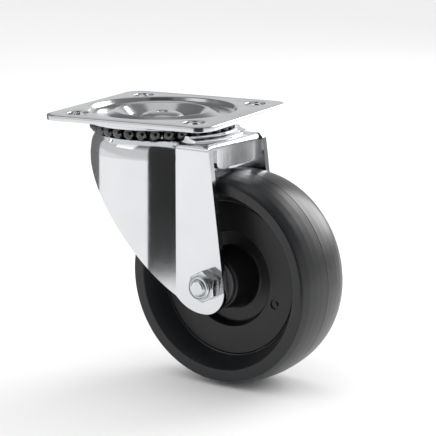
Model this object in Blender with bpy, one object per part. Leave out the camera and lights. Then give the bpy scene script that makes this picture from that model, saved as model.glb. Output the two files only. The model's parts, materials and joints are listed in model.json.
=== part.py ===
"""Swivel castor with a top plate and a 100 mm plastic wheel.

Units are metres, +Z is up. The origin is the point where the swivel axis meets the plate's top face.
The plate's sides lie along X and Y. The fork trails towards +X and stands turned a little about Z.
Lengths below are written in millimetres through MM.
"""

from math import asin, atan2, cos, pi, radians, sin, sqrt, tan

import bmesh
import bpy
from mathutils import Vector

MM = 0.001

# Driving dimensions
TOTAL_HEIGHT = 125.0 * MM
WHEEL_RADIUS = 50.0 * MM
WHEEL_WIDTH = 35.0 * MM
TRAIL = 43.0 * MM
FORK_TURN = radians(-8.0)
RUNNING_GAP = 0.3 * MM
AXLE_DEPTH = TOTAL_HEIGHT - WHEEL_RADIUS

# Top plate
PLATE_LENGTH = 86.0 * MM
PLATE_WIDTH = 88.0 * MM
PLATE_SHEET = 2.5 * MM
PLATE_OFFSET = 2.8 * MM
PLATE_CORNER = 8.0 * MM
SLOT_WIDTH = 9.0 * MM
SLOT_LENGTH = 11.5 * MM
SLOT_INSET = 12.5 * MM
DISH_RADIUS = 34.5 * MM
DISH_SHOULDER = 2.0 * MM
TROUGH_DEPTH = 2.7 * MM
RIDGE_RADIUS = 22.0 * MM
RIDGE_DEPTH = 0.8 * MM
CUP_RADIUS = 17.0 * MM
CUP_DEPTH = 5.0 * MM

# Ball rows
BALL_RADIUS = 3.0 * MM
UPPER_ROW_RADIUS = 31.5 * MM
UPPER_ROW_DEPTH = 7.4 * MM
LOWER_ROW_RADIUS = 14.0 * MM
LOWER_ROW_DEPTH = 15.0 * MM
BALL_SPACING = 0.15 * MM
RACE_RADIUS = BALL_RADIUS + RUNNING_GAP
UPPER_BALLS = int(2 * pi * UPPER_ROW_RADIUS / (2 * BALL_RADIUS + BALL_SPACING))
LOWER_BALLS = int(2 * pi * LOWER_ROW_RADIUS / (2 * BALL_RADIUS + BALL_SPACING))

# Fork
FORK_SHEET = 3.0 * MM
NECK_RADIUS = UPPER_ROW_RADIUS + RACE_RADIUS + 1.7 * MM
NECK_DEPTH = 8.0 * MM
BRIM_RADIUS = NECK_RADIUS + 3.0 * MM
NECK_HALF_ANGLE = 36.0
NECK_FADE = 6.0
WEB_DEPTH = 9.9 * MM
CROWN_DEPTH = UPPER_ROW_DEPTH + RACE_RADIUS + 0.1 * MM
BRIM_DEPTH = CROWN_DEPTH - 1.0 * MM
CROWN_REACH = 42.0 * MM
CROWN_BEND = 3.0 * MM
SHELL_RADIUS = UPPER_ROW_RADIUS + 2.7 * MM
SHOULDER_DROP = 10.0 * MM
LEG_FRONT = 27.0 * MM
LEG_SLANT = 0.131
LEG_END_DROP = 14.4 * MM
SHELL_CUT_SLOPE = 1.19
FLANGE_HALF_WIDTH = 15.0 * MM
FLANGE_DEPTH = 23.0 * MM
FLANGE_CHAMFER = 3.0 * MM
BEND_MARGIN = 1.0 * MM

# Kingpin and lower race cup
KINGPIN_RADIUS = 5.0 * MM
KINGPIN_HEAD_RADIUS = 10.5 * MM
KINGPIN_HEAD_HEIGHT = 3.2 * MM
KINGPIN_FOOT_RADIUS = 9.5 * MM
KINGPIN_FOOT_HEIGHT = 3.5 * MM
CUP_RACE_RADIUS = 19.0 * MM
CUP_RACE_FLOOR = 2.2 * MM

# Axle: sleeve, bushes and hub are built up around the bolt
BOLT_RADIUS = 4.0 * MM
HEX_ACROSS_FLATS = 13.0 * MM
BOLT_HEAD_HEIGHT = 5.3 * MM
NUT_HEX_HEIGHT = 5.6 * MM
NUT_COLLAR_HEIGHT = 2.4 * MM
INSERT_RADIUS = BOLT_RADIUS + 1.0 * MM
NUT_COLLAR_RADIUS = INSERT_RADIUS + 0.7 * MM
BOLT_PROTRUSION = 1.0 * MM
SLEEVE_WALL = 1.7 * MM
SLEEVE_RADIUS = BOLT_RADIUS + RUNNING_GAP + SLEEVE_WALL
BUSH_WALL = 1.9 * MM
BUSH_RADIUS = SLEEVE_RADIUS + RUNNING_GAP + BUSH_WALL
BUSH_FLANGE_RADIUS = BUSH_RADIUS + 2.8 * MM
BUSH_FLANGE = 1.2 * MM
BUSH_LENGTH = 12.0 * MM

# Wheel
TREAD_CROWN = 2.4 * MM
SIDE_RING_INNER = 41.8 * MM
WEB_RADIUS = 36.0 * MM
WEB_HALF = 7.5 * MM
HUB_GROOVE_OUTER = 22.4 * MM
HUB_GROOVE_HALF = 2.8 * MM
HUB_WALL = 4.0 * MM
HUB_RADIUS = BUSH_RADIUS + RUNNING_GAP + HUB_WALL
HUB_GROOVE_INNER = HUB_RADIUS + 2.0 * MM
HUB_PROUD = 0.6 * MM

# The fork is as wide as the wheel, its hub and its bushes need
LEG_CLEARANCE = 0.9 * MM
FORK_WIDTH = WHEEL_WIDTH + 2 * (HUB_PROUD + RUNNING_GAP + BUSH_FLANGE + LEG_CLEARANCE + FORK_SHEET)

ROUND_STEPS = 48
SMALL_STEPS = 24
ARC_STEPS = 6
WHEEL_STEPS = 60
SHELL_STEPS = 28


def clear_scene():
    for old in list(bpy.data.objects):
        bpy.data.objects.remove(old, do_unlink=True)


def make_material(name, colour, roughness, metallic):
    material = bpy.data.materials.new(name)
    material.use_nodes = True
    shader = material.node_tree.nodes["Principled BSDF"]
    shader.inputs["Base Color"].default_value = (*colour, 1.0)
    shader.inputs["Roughness"].default_value = roughness
    shader.inputs["Metallic"].default_value = metallic
    return material


def make_object(name, bm, material, parent=None):
    bmesh.ops.remove_doubles(bm, verts=bm.verts, dist=1e-6)
    bmesh.ops.recalc_face_normals(bm, faces=bm.faces)
    mesh = bpy.data.meshes.new(name)
    bm.to_mesh(mesh)
    bm.free()
    mesh.shade_smooth()
    mesh.set_sharp_from_angle(angle=radians(35))
    piece = bpy.data.objects.new(name, mesh)
    bpy.context.scene.collection.objects.link(piece)
    if material:
        mesh.materials.append(material)
    piece.parent = parent
    return piece


def make_empty(name, location, turn=0.0, parent=None):
    empty = bpy.data.objects.new(name, None)
    bpy.context.scene.collection.objects.link(empty)
    empty.location = location
    empty.rotation_euler = (0, 0, turn)
    empty.parent = parent
    return empty


def turned(profile, steps=ROUND_STEPS, axis="Z"):
    """A closed solid of revolution from (radius, height) points that run round its section."""
    bm = bmesh.new()
    if axis == "Z":
        points = [Vector((r, 0, h)) for r, h in profile]
        along = Vector((0, 0, 1))
    else:
        points = [Vector((r, h, 0)) for r, h in profile]
        along = Vector((0, 1, 0))
    verts = [bm.verts.new(p) for p in points]
    closed = profile[0][0] > 0 or profile[-1][0] > 0
    pairs = list(zip(verts, verts[1:] + verts[:1])) if closed else list(zip(verts, verts[1:]))
    edges = [bm.edges.new(pair) for pair in pairs]
    bmesh.ops.spin(bm, geom=verts + edges, cent=(0, 0, 0), axis=along, angle=2 * pi,
                   steps=steps, use_merge=True)
    bmesh.ops.remove_doubles(bm, verts=bm.verts, dist=1e-6)
    return bm


def lofted(sections):
    """A closed solid about Z through (angle, section) pairs that run once round it."""
    bm = bmesh.new()
    loops = []
    for angle, section in sections:
        turn = radians(angle)
        loops.append([bm.verts.new((r * cos(turn), r * sin(turn), z)) for r, z in section])
    for loop, after in zip(loops, loops[1:] + loops[:1]):
        for i in range(len(loop)):
            bm.faces.new((loop[i - 1], loop[i], after[i], after[i - 1]))
    return bm


def arc(centre, radius, start, end, steps=ARC_STEPS):
    """Points on a circle from the start angle to the end angle, in degrees."""
    points = []
    for i in range(steps + 1):
        angle = radians(start + (end - start) * i / steps)
        points.append((centre[0] + radius * cos(angle), centre[1] + radius * sin(angle)))
    return points


def rounded(corners, radii, steps=5):
    """A polygon's outline with each corner replaced by an arc of its own radius."""
    outline = []
    for i, corner in enumerate(corners):
        here = Vector(corner)
        before = (Vector(corners[i - 1]) - here).normalized()
        after = (Vector(corners[(i + 1) % len(corners)]) - here).normalized()
        half = before.angle(after) / 2
        if radii[i] == 0:
            outline.append(tuple(here))
            continue
        middle = here + (before + after).normalized() * radii[i] / sin(half)
        first = here + before * radii[i] / tan(half) - middle
        last = here + after * radii[i] / tan(half) - middle
        start = atan2(first.y, first.x)
        sweep = (atan2(last.y, last.x) - start + pi) % (2 * pi) - pi
        for k in range(steps + 1):
            angle = start + sweep * k / steps
            outline.append((middle.x + radii[i] * cos(angle), middle.y + radii[i] * sin(angle)))
    return outline


def slab(outline, low, high, plane="XY"):
    """A flat outline in one plane, extruded between two levels along the third axis."""
    bm = bmesh.new()
    if plane == "XY":
        points = [(x, y, low) for x, y in outline]
        shift = Vector((0, 0, high - low))
    elif plane == "XZ":
        points = [(x, low, z) for x, z in outline]
        shift = Vector((0, high - low, 0))
    else:
        points = [(low, y, z) for y, z in outline]
        shift = Vector((high - low, 0, 0))
    face = bm.faces.new([bm.verts.new(point) for point in points])
    extruded = bmesh.ops.extrude_face_region(bm, geom=[face])
    moved = [v for v in extruded["geom"] if isinstance(v, bmesh.types.BMVert)]
    bmesh.ops.translate(bm, verts=moved, vec=shift)
    return bm


def guide(name, bm, parent=None):
    """A helper shape that only feeds Boolean modifiers."""
    helper = make_object(name, bm, None, parent)
    helper.hide_render = True
    helper.display_type = "WIRE"
    return helper


def combine(piece, helper, operation):
    modifier = piece.modifiers.new(helper.name, "BOOLEAN")
    modifier.operation = operation
    modifier.object = helper
    modifier.solver = "EXACT"


def hexagon(across_flats, low, high):
    """A hexagon prism along Y with corners up and down."""
    corner_radius = across_flats / sqrt(3)
    outline = [(corner_radius * sin(i * pi / 3), corner_radius * cos(i * pi / 3)) for i in range(6)]
    return slab(outline, low, high, "XZ")


clear_scene()

zinc = make_material("zinc_plated_steel", (0.78, 0.79, 0.81), 0.22, 1.0)
bright = make_material("zinc_plated_fastener", (0.72, 0.73, 0.75), 0.3, 1.0)
ball_steel = make_material("ball_steel", (0.62, 0.63, 0.65), 0.12, 1.0)
black_plastic = make_material("black_plastic", (0.022, 0.022, 0.024), 0.38, 0.0)
nylon = make_material("nylon", (0.75, 0.76, 0.72), 0.5, 0.0)
bush_plastic = make_material("bush_plastic", (0.08, 0.08, 0.085), 0.45, 0.0)

swivel = make_empty("swivel_axis", (0, 0, 0), FORK_TURN)
axle = make_empty("axle_axis", (TRAIL, 0, -AXLE_DEPTH), 0.0, swivel)


# Top plate: one steel pressing
def build_top_plate():
    half_x = PLATE_LENGTH / 2
    half_y = PLATE_WIDTH / 2
    corners = [(PLATE_OFFSET + sx * half_x, sy * half_y) for sx, sy in ((-1, -1), (1, -1), (1, 1), (-1, 1))]
    sheet = slab(rounded(corners, [PLATE_CORNER] * 4), -PLATE_SHEET, 0)
    plate = make_object("top_plate", sheet, zinc)

    opening_radius = DISH_RADIUS + DISH_SHOULDER
    opening = turned([(0, PLATE_SHEET), (opening_radius, PLATE_SHEET),
                      (opening_radius, -2 * PLATE_SHEET), (0, -2 * PLATE_SHEET)])
    combine(plate, guide("dish_opening", opening), "DIFFERENCE")

    wall = PLATE_SHEET
    overlap = opening_radius + 0.6 * MM
    groove_half = asin((UPPER_ROW_DEPTH - TROUGH_DEPTH - wall) / RACE_RADIUS)
    groove = arc((UPPER_ROW_RADIUS, -UPPER_ROW_DEPTH), RACE_RADIUS,
                 groove_half * 180 / pi, 180 - groove_half * 180 / pi)
    trough_floor = -TROUGH_DEPTH
    underside = -TROUGH_DEPTH - wall
    cup_floor = -CUP_DEPTH
    bore = KINGPIN_RADIUS + RUNNING_GAP
    section = [
        (bore, cup_floor), (CUP_RADIUS - 2 * MM, cup_floor), (CUP_RADIUS, cup_floor + 0.6 * MM),
        (RIDGE_RADIUS - 2 * MM, -RIDGE_DEPTH - 0.6 * MM), (RIDGE_RADIUS - 0.7 * MM, -RIDGE_DEPTH),
        (RIDGE_RADIUS + 0.7 * MM, -RIDGE_DEPTH), (RIDGE_RADIUS + 3.5 * MM, trough_floor + 0.4 * MM),
        (RIDGE_RADIUS + 5 * MM, trough_floor), (DISH_RADIUS - 4 * MM, trough_floor),
        (DISH_RADIUS - 2.2 * MM, trough_floor + 0.5 * MM), (DISH_RADIUS - 0.6 * MM, -0.5 * MM),
        (DISH_RADIUS, -0.1 * MM), (overlap, 0), (overlap, -wall),
        (overlap - 0.3 * MM, underside + 0.6 * MM), (overlap - 0.9 * MM, underside),
    ] + groove + [
        (RIDGE_RADIUS + 3 * MM, underside), (CUP_RADIUS + 3 * MM, cup_floor - wall * 0.8),
        (CUP_RADIUS, cup_floor - wall), (bore, cup_floor - wall),
    ]
    combine(plate, guide("dish", turned(section)), "UNION")

    straight = (SLOT_LENGTH - SLOT_WIDTH) / 2
    for index, (sx, sy) in enumerate(((-1, -1), (1, -1), (1, 1), (-1, 1))):
        x = PLATE_OFFSET + sx * (half_x - SLOT_INSET)
        y = sy * (half_y - SLOT_INSET)
        outline = arc((x, y + straight), SLOT_WIDTH / 2, 0, 180, 8)
        outline += arc((x, y - straight), SLOT_WIDTH / 2, 180, 360, 8)
        cutter = slab(outline, -2 * PLATE_SHEET, PLATE_SHEET)
        combine(plate, guide(f"slot_{index + 1}", cutter), "DIFFERENCE")


build_top_plate()


# Balls: one mesh for all, each ball an object of its own
def build_ball_row(prefix, count, row_radius, depth, parent):
    first = None
    for index in range(count):
        angle = 2 * pi * index / count
        place = (row_radius * cos(angle), row_radius * sin(angle), -depth)
        name = f"{prefix}_{index + 1:02d}"
        if first is None:
            bm = bmesh.new()
            bmesh.ops.create_icosphere(bm, subdivisions=2, radius=BALL_RADIUS)
            ball = make_object(name, bm, ball_steel, parent)
            first = ball
        else:
            ball = bpy.data.objects.new(name, first.data)
            bpy.context.scene.collection.objects.link(ball)
            ball.parent = parent
        ball.location = place
        ball.rotation_euler = (0, 0, angle)


build_ball_row("upper_ball", UPPER_BALLS, UPPER_ROW_RADIUS, UPPER_ROW_DEPTH, None)
build_ball_row("lower_ball", LOWER_BALLS, LOWER_ROW_RADIUS, LOWER_ROW_DEPTH, None)


# Fork: crown, front shell, legs and rear flange in one pressing
def build_fork():
    half = FORK_WIDTH / 2
    inner = half - FORK_SHEET
    crown_under = LOWER_ROW_DEPTH - BALL_RADIUS + 0.9 * MM

    # Plan of the wall: leg, round front shell, leg
    def wall_plan(radius, y_leg):
        bend = asin(y_leg / radius) * 180 / pi
        return arc((0, 0), radius, bend, 360 - bend, SHELL_STEPS)

    reach = TRAIL + 25 * MM
    outer = [(reach, half)] + wall_plan(SHELL_RADIUS, half) + [(reach, -half)]
    hollow = wall_plan(SHELL_RADIUS - FORK_SHEET, inner)
    plan = outer + [(reach, -inner)] + hollow[::-1] + [(reach, inner)]
    lowest = -AXLE_DEPTH - 2 * LEG_END_DROP
    fork = make_object("fork", slab(plan, lowest, 0), zinc, swivel)

    # Side view of the wall
    skirt_low = -CROWN_DEPTH - SHOULDER_DROP
    top = skirt_low + 1.5 * MM
    leg_start = sqrt(SHELL_RADIUS ** 2 - half ** 2)
    end_bottom = -AXLE_DEPTH - LEG_END_DROP
    leg_rear_top = CROWN_REACH + 0.9 * MM
    leg_rear_bottom = leg_rear_top - LEG_SLANT * (end_bottom + CROWN_DEPTH)
    cut_x = TRAIL - 12.6 * MM
    cut_top_x = cut_x - (top - end_bottom) / SHELL_CUT_SLOPE
    step_x = leg_start + 0.15 * MM
    side = [(cut_x, end_bottom), (leg_rear_bottom, end_bottom), (leg_rear_top, -CROWN_DEPTH),
            (step_x, -CROWN_DEPTH), (step_x, top), (cut_top_x, top)]
    side_outline = rounded(side, [20 * MM, 11 * MM, CROWN_BEND, 0, 0, 0], 6)
    side_view = slab(side_outline, -60 * MM, 60 * MM, "XZ")
    combine(fork, guide("fork_side_view", side_view, swivel), "INTERSECT")

    # Round crown with the two raceways
    bore = KINGPIN_RADIUS + 2 * RUNNING_GAP
    upper_half = asin((UPPER_ROW_DEPTH - NECK_DEPTH) / RACE_RADIUS) * 180 / pi
    inner_lip = UPPER_ROW_RADIUS - RACE_RADIUS - 0.5 * MM
    row_centre = (UPPER_ROW_RADIUS, -UPPER_ROW_DEPTH)
    race = arc(row_centre, RACE_RADIUS, 180 - upper_half, 268)
    outer_race = arc(row_centre, RACE_RADIUS, 285, 360 + upper_half, 4)
    lower_half = asin((LOWER_ROW_DEPTH - crown_under) / RACE_RADIUS) * 180 / pi
    lower_race = arc((LOWER_ROW_RADIUS, -LOWER_ROW_DEPTH), RACE_RADIUS, lower_half, 180 - lower_half)
    web = [(bore, -WEB_DEPTH), (inner_lip - 2.5 * MM, -WEB_DEPTH), (inner_lip - 1.2 * MM, -NECK_DEPTH)] + race
    neck = outer_race + [(NECK_RADIUS - 0.6 * MM, -NECK_DEPTH), (NECK_RADIUS, -NECK_DEPTH - 0.5 * MM),
                         (NECK_RADIUS + 0.4 * MM, -NECK_DEPTH - 1.1 * MM), (BRIM_RADIUS, -BRIM_DEPTH),
                         (BRIM_RADIUS, -BRIM_DEPTH - 0.7 * MM), (SHELL_RADIUS + 1.5 * MM, -BRIM_DEPTH - 1.5 * MM),
                         (SHELL_RADIUS - 0.4 * MM, -crown_under)]
    drops = [(-2.5, -0.1), (-2.2, 0.6), (-1.8, 1.3), (-1.4, 2.0), (-1.05, 2.9), (-0.7, 3.9), (-0.5, 5.2), (-0.3, 6.7)]
    shoulder = [(SHELL_RADIUS + r * MM, -CROWN_DEPTH - z * MM) for r, z in drops]
    skirt_inner = SHELL_RADIUS - FORK_SHEET + 0.05 * MM
    shoulder += [(SHELL_RADIUS - 0.05 * MM, skirt_low), (skirt_inner, skirt_low),
                 (skirt_inner - 0.3 * MM, -crown_under - 2.5 * MM), (skirt_inner - 2 * MM, -crown_under)]
    end = lower_race + [(bore, -crown_under)]
    front_start = NECK_HALF_ANGLE + NECK_FADE
    front_step = (360 - 2 * front_start) / ROUND_STEPS
    behind_step = 2 * NECK_HALF_ANGLE / SMALL_STEPS
    front = [(front_start + i * front_step, web + shoulder + end) for i in range(ROUND_STEPS + 1)]
    behind = [(-NECK_HALF_ANGLE + i * behind_step, web + neck + end) for i in range(SMALL_STEPS + 1)]
    combine(fork, guide("crown", lofted(front + behind), swivel), "UNION")

    # Flat rear of the crown, rounded over into the legs and the flange
    plate_low = -CROWN_DEPTH - FORK_SHEET
    rear_start = LEG_FRONT
    rear_view = [(rear_start, plate_low), (CROWN_REACH, plate_low),
                 (CROWN_REACH, -CROWN_DEPTH), (rear_start, -CROWN_DEPTH)]
    rear = slab(rounded(rear_view, [0, 0, CROWN_BEND, 0]), -half, half, "XZ")
    combine(fork, guide("crown_rear", rear, swivel), "UNION")
    bend_start = step_x + 0.3 * MM
    bend_top = -NECK_DEPTH + BEND_MARGIN
    for name, side in (("near_bend", -1), ("far_bend", 1)):
        centre = (side * (half - CROWN_BEND), -CROWN_DEPTH - CROWN_BEND)
        curve = arc(centre, CROWN_BEND, 90, 90 - side * 90)
        margin = side * (half + BEND_MARGIN)
        corner = curve + [(margin, -CROWN_DEPTH - CROWN_BEND), (margin, bend_top),
                          (centre[0], bend_top)]
        cutter = slab(corner, bend_start, CROWN_REACH + BEND_MARGIN, "YZ")
        combine(fork, guide(name, cutter, swivel), "DIFFERENCE")

    # Turned-down flange between the legs
    width = FLANGE_HALF_WIDTH
    flange_top = -CROWN_DEPTH - CROWN_BEND
    flange_view = [(-width, flange_top), (width, flange_top),
                   (width, -FLANGE_DEPTH + FLANGE_CHAMFER), (width - FLANGE_CHAMFER, -FLANGE_DEPTH),
                   (-width + FLANGE_CHAMFER, -FLANGE_DEPTH), (-width, -FLANGE_DEPTH + FLANGE_CHAMFER)]
    flange = slab(flange_view, CROWN_REACH - FORK_SHEET, CROWN_REACH - 0.1 * MM, "YZ")
    combine(fork, guide("rear_flange", flange, swivel), "UNION")

    # Axle holes through both legs
    hole_radius = BOLT_RADIUS + RUNNING_GAP
    hole = turned([(0, -FORK_WIDTH), (hole_radius, -FORK_WIDTH), (hole_radius, FORK_WIDTH), (0, FORK_WIDTH)],
                  SMALL_STEPS, "Y")
    combine(fork, guide("axle_hole", hole, axle), "DIFFERENCE")


build_fork()


# Lower race cup and kingpin
def build_kingpin():
    under = LOWER_ROW_DEPTH + BALL_RADIUS + CUP_RACE_FLOOR
    lip = LOWER_ROW_DEPTH + 1.2 * MM
    half_angle = asin((LOWER_ROW_DEPTH - lip) / RACE_RADIUS) * 180 / pi
    race = arc((LOWER_ROW_RADIUS, -LOWER_ROW_DEPTH), RACE_RADIUS, 180 - half_angle, 360 + half_angle)
    bore = KINGPIN_RADIUS + RUNNING_GAP
    section = [(bore, -lip)] + race + [(CUP_RACE_RADIUS, -lip), (CUP_RACE_RADIUS, -under + 1.2 * MM),
                                       (CUP_RACE_RADIUS - 1.2 * MM, -under), (bore, -under)]
    make_object("lower_race_cup", turned(section), zinc)

    seat = -CUP_DEPTH + RUNNING_GAP
    crown = seat + KINGPIN_HEAD_HEIGHT
    foot = -under - RUNNING_GAP
    base = foot - KINGPIN_FOOT_HEIGHT
    head = KINGPIN_HEAD_RADIUS
    profile = [(0, crown - 1.6 * MM), (1.6 * MM, crown - 1.5 * MM), (3.0 * MM, crown - 0.2 * MM),
               (4.2 * MM, crown), (0.65 * head, crown - 0.4 * MM), (0.87 * head, crown - 1.3 * MM),
               (head, crown - 2.5 * MM), (head, seat), (KINGPIN_RADIUS, seat),
               (KINGPIN_RADIUS, foot), (KINGPIN_FOOT_RADIUS, foot),
               (KINGPIN_FOOT_RADIUS, foot - 1.6 * MM), (0.6 * KINGPIN_FOOT_RADIUS, base), (0, base)]
    make_object("kingpin", turned(profile, SMALL_STEPS), bright)


build_kingpin()


# Wheel: a solid tyre on a web with a hub, both the same on either side
def build_wheel():
    half = WHEEL_WIDTH / 2
    shoulder = half - 0.8 * MM
    radius = WHEEL_RADIUS
    hub_end = half + HUB_PROUD
    seat = WEB_RADIUS + RUNNING_GAP
    tread = [(radius, 0), (radius - 0.12 * TREAD_CROWN, 0.35 * shoulder),
             (radius - 0.45 * TREAD_CROWN, 0.7 * shoulder), (radius - TREAD_CROWN, shoulder),
             (radius - TREAD_CROWN - 1.2 * MM, half), (SIDE_RING_INNER + 0.8 * MM, half),
             (SIDE_RING_INNER, half - 0.6 * MM), (seat + 1.2 * MM, WEB_HALF + 0.8 * MM), (seat, WEB_HALF)]
    tyre = tread + [(r, -y) for r, y in tread[::-1][:-1]]
    make_object("tyre", turned(tyre, WHEEL_STEPS, "Y"), black_plastic, axle)

    side = [(WEB_RADIUS, WEB_HALF), (HUB_GROOVE_OUTER + 0.6 * MM, WEB_HALF),
            (HUB_GROOVE_OUTER, WEB_HALF - 0.6 * MM), (HUB_GROOVE_OUTER - 0.8 * MM, HUB_GROOVE_HALF),
            (HUB_GROOVE_INNER, HUB_GROOVE_HALF), (HUB_RADIUS, hub_end - 0.8 * MM),
            (HUB_RADIUS - 0.8 * MM, hub_end), (BUSH_RADIUS + RUNNING_GAP, hub_end)]
    centre = side + [(r, -y) for r, y in side[::-1]]
    make_object("wheel_centre", turned(centre, WHEEL_STEPS, "Y"), black_plastic, axle)
    return hub_end


hub_end = build_wheel()


# Axle: sleeve, bushes, bolt, lock nut and its insert, along the wheel's axis
def build_axle():
    leg_face = FORK_WIDTH / 2
    sleeve_end = leg_face - FORK_SHEET - RUNNING_GAP
    sleeve_bore = BOLT_RADIUS + RUNNING_GAP
    sleeve = [(sleeve_bore, -sleeve_end), (SLEEVE_RADIUS, -sleeve_end),
              (SLEEVE_RADIUS, sleeve_end), (sleeve_bore, sleeve_end)]
    make_object("axle_sleeve", turned(sleeve, SMALL_STEPS, "Y"), bright, axle)

    bush_bore = SLEEVE_RADIUS + RUNNING_GAP
    flange_foot = hub_end + RUNNING_GAP
    for name, side in (("bush_near", -1), ("bush_far", 1)):
        section = [(bush_bore, side * (hub_end - BUSH_LENGTH)), (BUSH_RADIUS, side * (hub_end - BUSH_LENGTH)),
                   (BUSH_RADIUS, side * flange_foot), (BUSH_FLANGE_RADIUS, side * flange_foot),
                   (BUSH_FLANGE_RADIUS, side * (flange_foot + BUSH_FLANGE)),
                   (bush_bore, side * (flange_foot + BUSH_FLANGE))]
        make_object(name, turned(section, SMALL_STEPS, "Y"), bush_plastic, axle)

    seat = leg_face + RUNNING_GAP
    nut_end = -seat - NUT_HEX_HEIGHT - NUT_COLLAR_HEIGHT
    shank_end = nut_end - BOLT_PROTRUSION
    head = hexagon(HEX_ACROSS_FLATS, seat, seat + BOLT_HEAD_HEIGHT)
    bolt = make_object("axle_bolt", head, bright, axle)
    shank = [(0, shank_end), (BOLT_RADIUS - 0.7 * MM, shank_end), (BOLT_RADIUS, shank_end + 0.7 * MM),
             (BOLT_RADIUS, seat + 1 * MM), (0, seat + 1 * MM)]
    combine(bolt, guide("bolt_shank", turned(shank, SMALL_STEPS, "Y"), axle), "UNION")

    nut = make_object("axle_nut", hexagon(HEX_ACROSS_FLATS, -seat - NUT_HEX_HEIGHT, -seat), bright, axle)
    collar = [(0, nut_end), (NUT_COLLAR_RADIUS - 0.6 * MM, nut_end), (NUT_COLLAR_RADIUS, nut_end + 0.6 * MM),
              (NUT_COLLAR_RADIUS, -seat - 1 * MM), (0, -seat - 1 * MM)]
    combine(nut, guide("nut_collar", turned(collar, SMALL_STEPS, "Y"), axle), "UNION")
    bore = BOLT_RADIUS + RUNNING_GAP
    thread = [(0, nut_end - 5 * MM), (bore, nut_end - 5 * MM), (bore, 0), (0, 0)]
    combine(nut, guide("nut_bore", turned(thread, SMALL_STEPS, "Y"), axle), "DIFFERENCE")
    pocket_floor = nut_end + NUT_COLLAR_HEIGHT
    pocket = [(0, nut_end - 5 * MM), (INSERT_RADIUS, nut_end - 5 * MM), (INSERT_RADIUS, pocket_floor), (0, pocket_floor)]
    combine(nut, guide("nut_pocket", turned(pocket, SMALL_STEPS, "Y"), axle), "DIFFERENCE")

    outer = INSERT_RADIUS - 0.15 * MM
    inner = BOLT_RADIUS + 0.1 * MM
    low = nut_end + 0.3 * MM
    high = pocket_floor - 0.3 * MM
    insert = [(inner, low), (outer, low), (outer, high), (inner, high)]
    make_object("nut_insert", turned(insert, SMALL_STEPS, "Y"), nylon, axle)


build_axle()
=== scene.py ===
"""Swivel castor with a bolt-on top plate: the finished look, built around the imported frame.

Everything is in metres with +Z up. The swivel axis is the Z axis, and the plate's top face lies at z = 0.
Fork pieces are drawn in the fork's own frame, with X trailing from the swivel axis, and turned into place.
"""

import json
from math import asin, atan2, cos, pi, radians, sin, sqrt, tan

import bmesh
import bpy
from mathutils import Matrix, Vector


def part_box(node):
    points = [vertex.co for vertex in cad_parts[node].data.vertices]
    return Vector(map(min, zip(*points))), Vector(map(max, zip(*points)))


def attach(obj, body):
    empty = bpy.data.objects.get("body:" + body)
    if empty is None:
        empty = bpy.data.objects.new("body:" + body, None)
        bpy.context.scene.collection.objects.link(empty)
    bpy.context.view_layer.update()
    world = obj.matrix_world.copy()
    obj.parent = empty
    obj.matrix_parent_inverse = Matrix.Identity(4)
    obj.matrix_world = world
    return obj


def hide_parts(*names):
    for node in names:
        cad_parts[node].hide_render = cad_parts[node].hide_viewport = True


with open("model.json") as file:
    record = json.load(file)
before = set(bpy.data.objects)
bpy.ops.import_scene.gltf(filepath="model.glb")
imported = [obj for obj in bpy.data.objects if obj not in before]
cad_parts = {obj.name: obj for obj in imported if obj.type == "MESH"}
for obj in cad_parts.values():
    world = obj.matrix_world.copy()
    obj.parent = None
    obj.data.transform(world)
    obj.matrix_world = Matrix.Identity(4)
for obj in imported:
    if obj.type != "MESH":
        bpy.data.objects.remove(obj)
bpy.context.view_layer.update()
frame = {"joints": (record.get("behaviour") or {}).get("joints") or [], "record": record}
MM = 0.001


# ---------------------------------------------------------------------------------------------
# Mounting plate: a square of 2.5 mm steel sheet with rounded corners, four slots for fixing
# bolts and a round dish pressed into the middle, which holds the kingpin and the upper race.
# Bright zinc plate all over, with fine drawing marks and a few cloudy patches.
# ---------------------------------------------------------------------------------------------
class Link:
    """A shader socket: arithmetic on it adds Math nodes, and add() puts in any other node."""

    def __init__(self, tree, socket=None):
        self.tree = tree
        self.socket = socket

    def add(self, kind, settings, inputs, output=0):
        node = self.tree.nodes.new("ShaderNode" + kind)
        for name, value in settings.items():
            setattr(node, name, value)
        for name, value in inputs.items():
            if isinstance(value, Link):
                self.tree.links.new(value.socket, node.inputs[name])
            else:
                node.inputs[name].default_value = value
        return Link(self.tree, node.outputs[output])

    def maths(self, operation, *values):
        return self.add("Math", {"operation": operation}, dict(enumerate(values)))

    def __add__(self, other):
        return self.maths("ADD", self, other)

    def __radd__(self, other):
        return self.maths("ADD", other, self)

    def __sub__(self, other):
        return self.maths("SUBTRACT", self, other)

    def __rsub__(self, other):
        return self.maths("SUBTRACT", other, self)

    def __mul__(self, other):
        return self.maths("MULTIPLY", self, other)

    def __rmul__(self, other):
        return self.maths("MULTIPLY", other, self)

    def blend(self, first, second):
        """A colour between two colours, by this value."""
        mix = {"data_type": "RGBA"}
        return self.add("Mix", mix, {0: self, 6: (*first, 1), 7: (*second, 1)}, 2)


def start_material(name, **constants):
    """A Principled material with its constant sockets set, its object coordinates and its shader."""
    material = bpy.data.materials.new(name)
    material.use_nodes = True
    tree = material.node_tree
    shader = tree.nodes["Principled BSDF"]
    for socket, value in constants.items():
        shader.inputs[socket.replace("_", " ")].default_value = value
    place = Link(tree).add("TexCoord", {}, {}, 3)
    return material, place, shader


def feed(place, shader, height=None, distance=0.0, strength=1.0, **maps):
    """Connects the maps that vary over the surface to the shader."""
    for socket, value in maps.items():
        place.tree.links.new(value.socket, shader.inputs[socket.replace("_", " ")])
    if height:
        bump = place.add("Bump", {}, {"Strength": strength, "Distance": distance, "Height": height})
        place.tree.links.new(bump.socket, shader.inputs["Normal"])


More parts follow.
